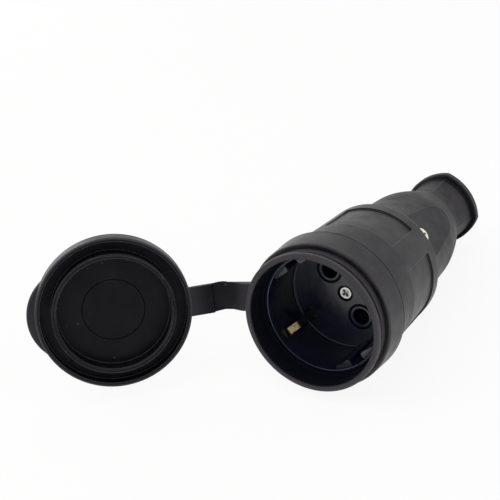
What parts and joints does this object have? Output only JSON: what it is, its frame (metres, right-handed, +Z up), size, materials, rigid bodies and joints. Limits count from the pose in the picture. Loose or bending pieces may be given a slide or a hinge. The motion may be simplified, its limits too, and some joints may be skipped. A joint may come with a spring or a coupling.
{
  "type": "rubber socket connector",
  "caption": "Black rubber cable socket with a round recessed well, ribbed grip, square cable tail and a strapped cap that swings shut over the mouth.",
  "frame": {"origin": "centre of the mouth at the face of the lip", "axes": "+Y along the connector's axis from the mouth to the cable tail, +Z up, the strap at -X"},
  "size_m": [0.1154, 0.1506, 0.0559],
  "materials": {
    "housing_rubber": "satin moulded rubber",
    "cap_rubber": "satin moulded rubber",
    "insert_plastic": "semi-gloss",
    "base_plastic": "matt",
    "contact_brass": "bright",
    "spring_steel": "satin",
    "screw_steel": "zinc plated"
  },
  "bodies": {
    "connector": {"rubber_housing": "housing_rubber", "cap_strap": "cap_rubber", "socket_insert": "insert_plastic", "earth_clip": "contact_brass", "centre_screw": "screw_steel", "clamp_screw": "screw_steel", "terminal_base": "base_plastic", "line_contact_a": "contact_brass", "line_contact_b": "contact_brass", "contact_spring_a": "spring_steel", "contact_spring_b": "spring_steel", "line_screw_a": "screw_steel", "line_screw_b": "screw_steel", "earth_terminal": "contact_brass", "earth_screw": "screw_steel", "centre_nut": "screw_steel", "clamp_frame": "base_plastic", "clamp_saddle": "base_plastic", "clamp_nut": "screw_steel"},
    "cap": {"cap": "cap_rubber"}
  },
  "joints": [
    {"name": "cap_swing", "type": "hinge", "parent": "connector", "child": "cap", "pos_m": [-0.0358, 0.00323, 0], "axis": [-0.0747, 0.0548, 0.9957], "range_deg": [-39, 141], "stiffness_Nm_per_rad": 0.01, "deforming": ["cap_strap"]}
  ]
}
